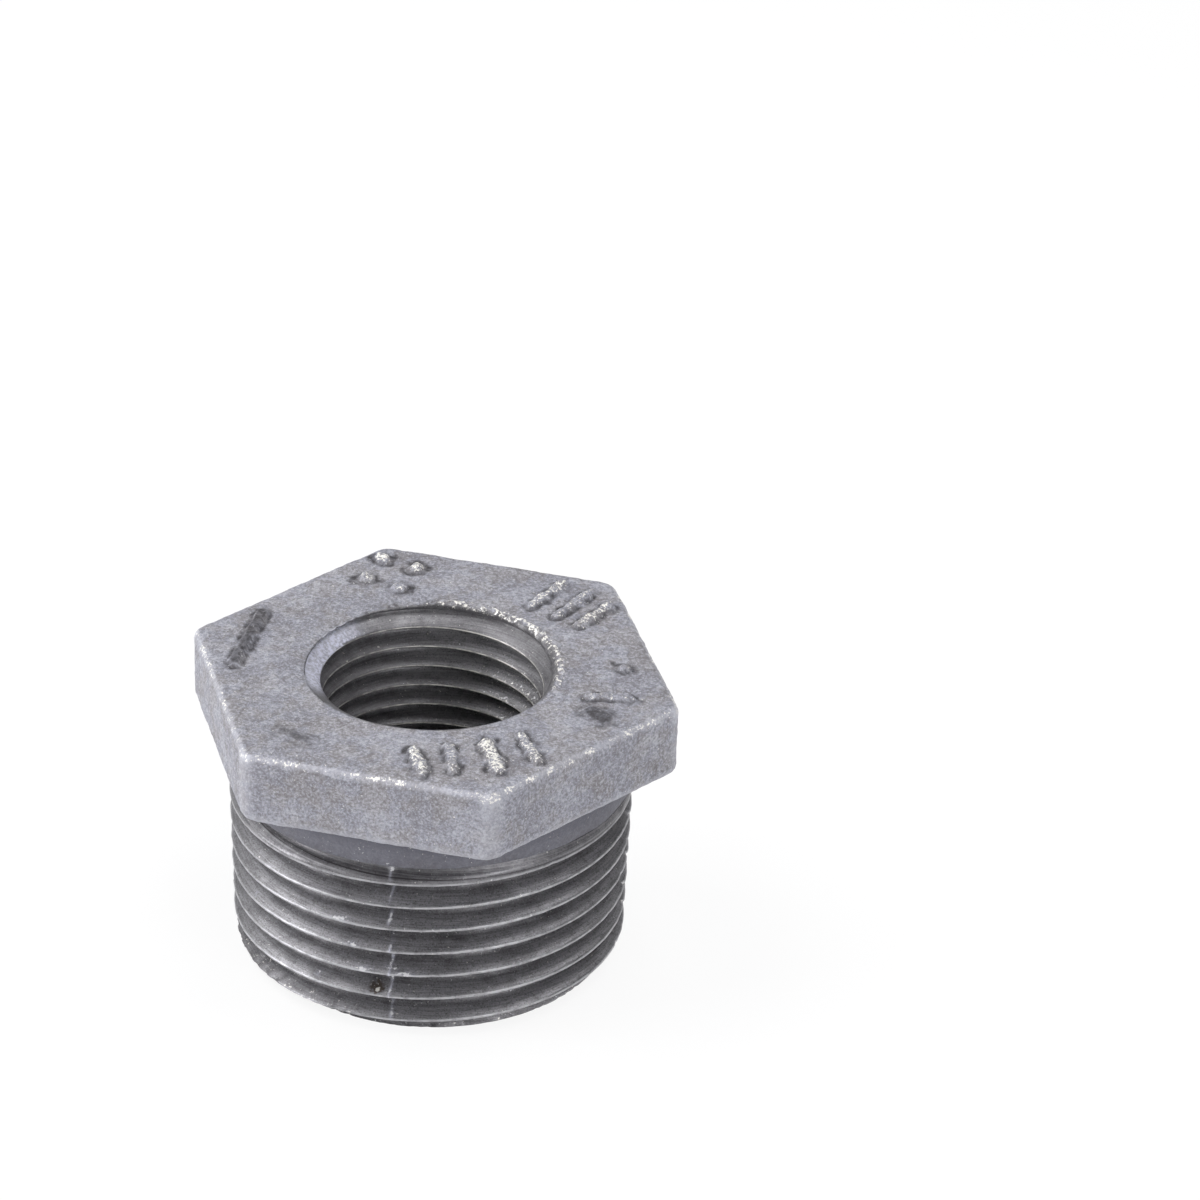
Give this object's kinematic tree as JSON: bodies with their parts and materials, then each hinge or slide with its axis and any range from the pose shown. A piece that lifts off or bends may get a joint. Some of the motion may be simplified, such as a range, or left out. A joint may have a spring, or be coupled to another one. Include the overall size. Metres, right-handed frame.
{
  "type": "hexagon-head pipe reducing bushing",
  "caption": "Black cast iron bushing with a hexagon head, tapered outside pipe thread and a smaller tapered inside pipe thread, for joining two pipe sizes.",
  "frame": {"origin": "centre of the threaded free end, on the axis of both threads; the bushing stands on it", "axes": "+Z along the axis, from the free end to the hexagon head; +X through two opposite corners of the hexagon, so +Y and -Y face two of its flats"},
  "size_m": [0.0416, 0.0364, 0.0258],
  "materials": {
    "black_iron": "as-cast black iron, bare machined threads"
  },
  "bodies": {
    "root": {"bushing": "black_iron"}
  },
  "joints": []
}
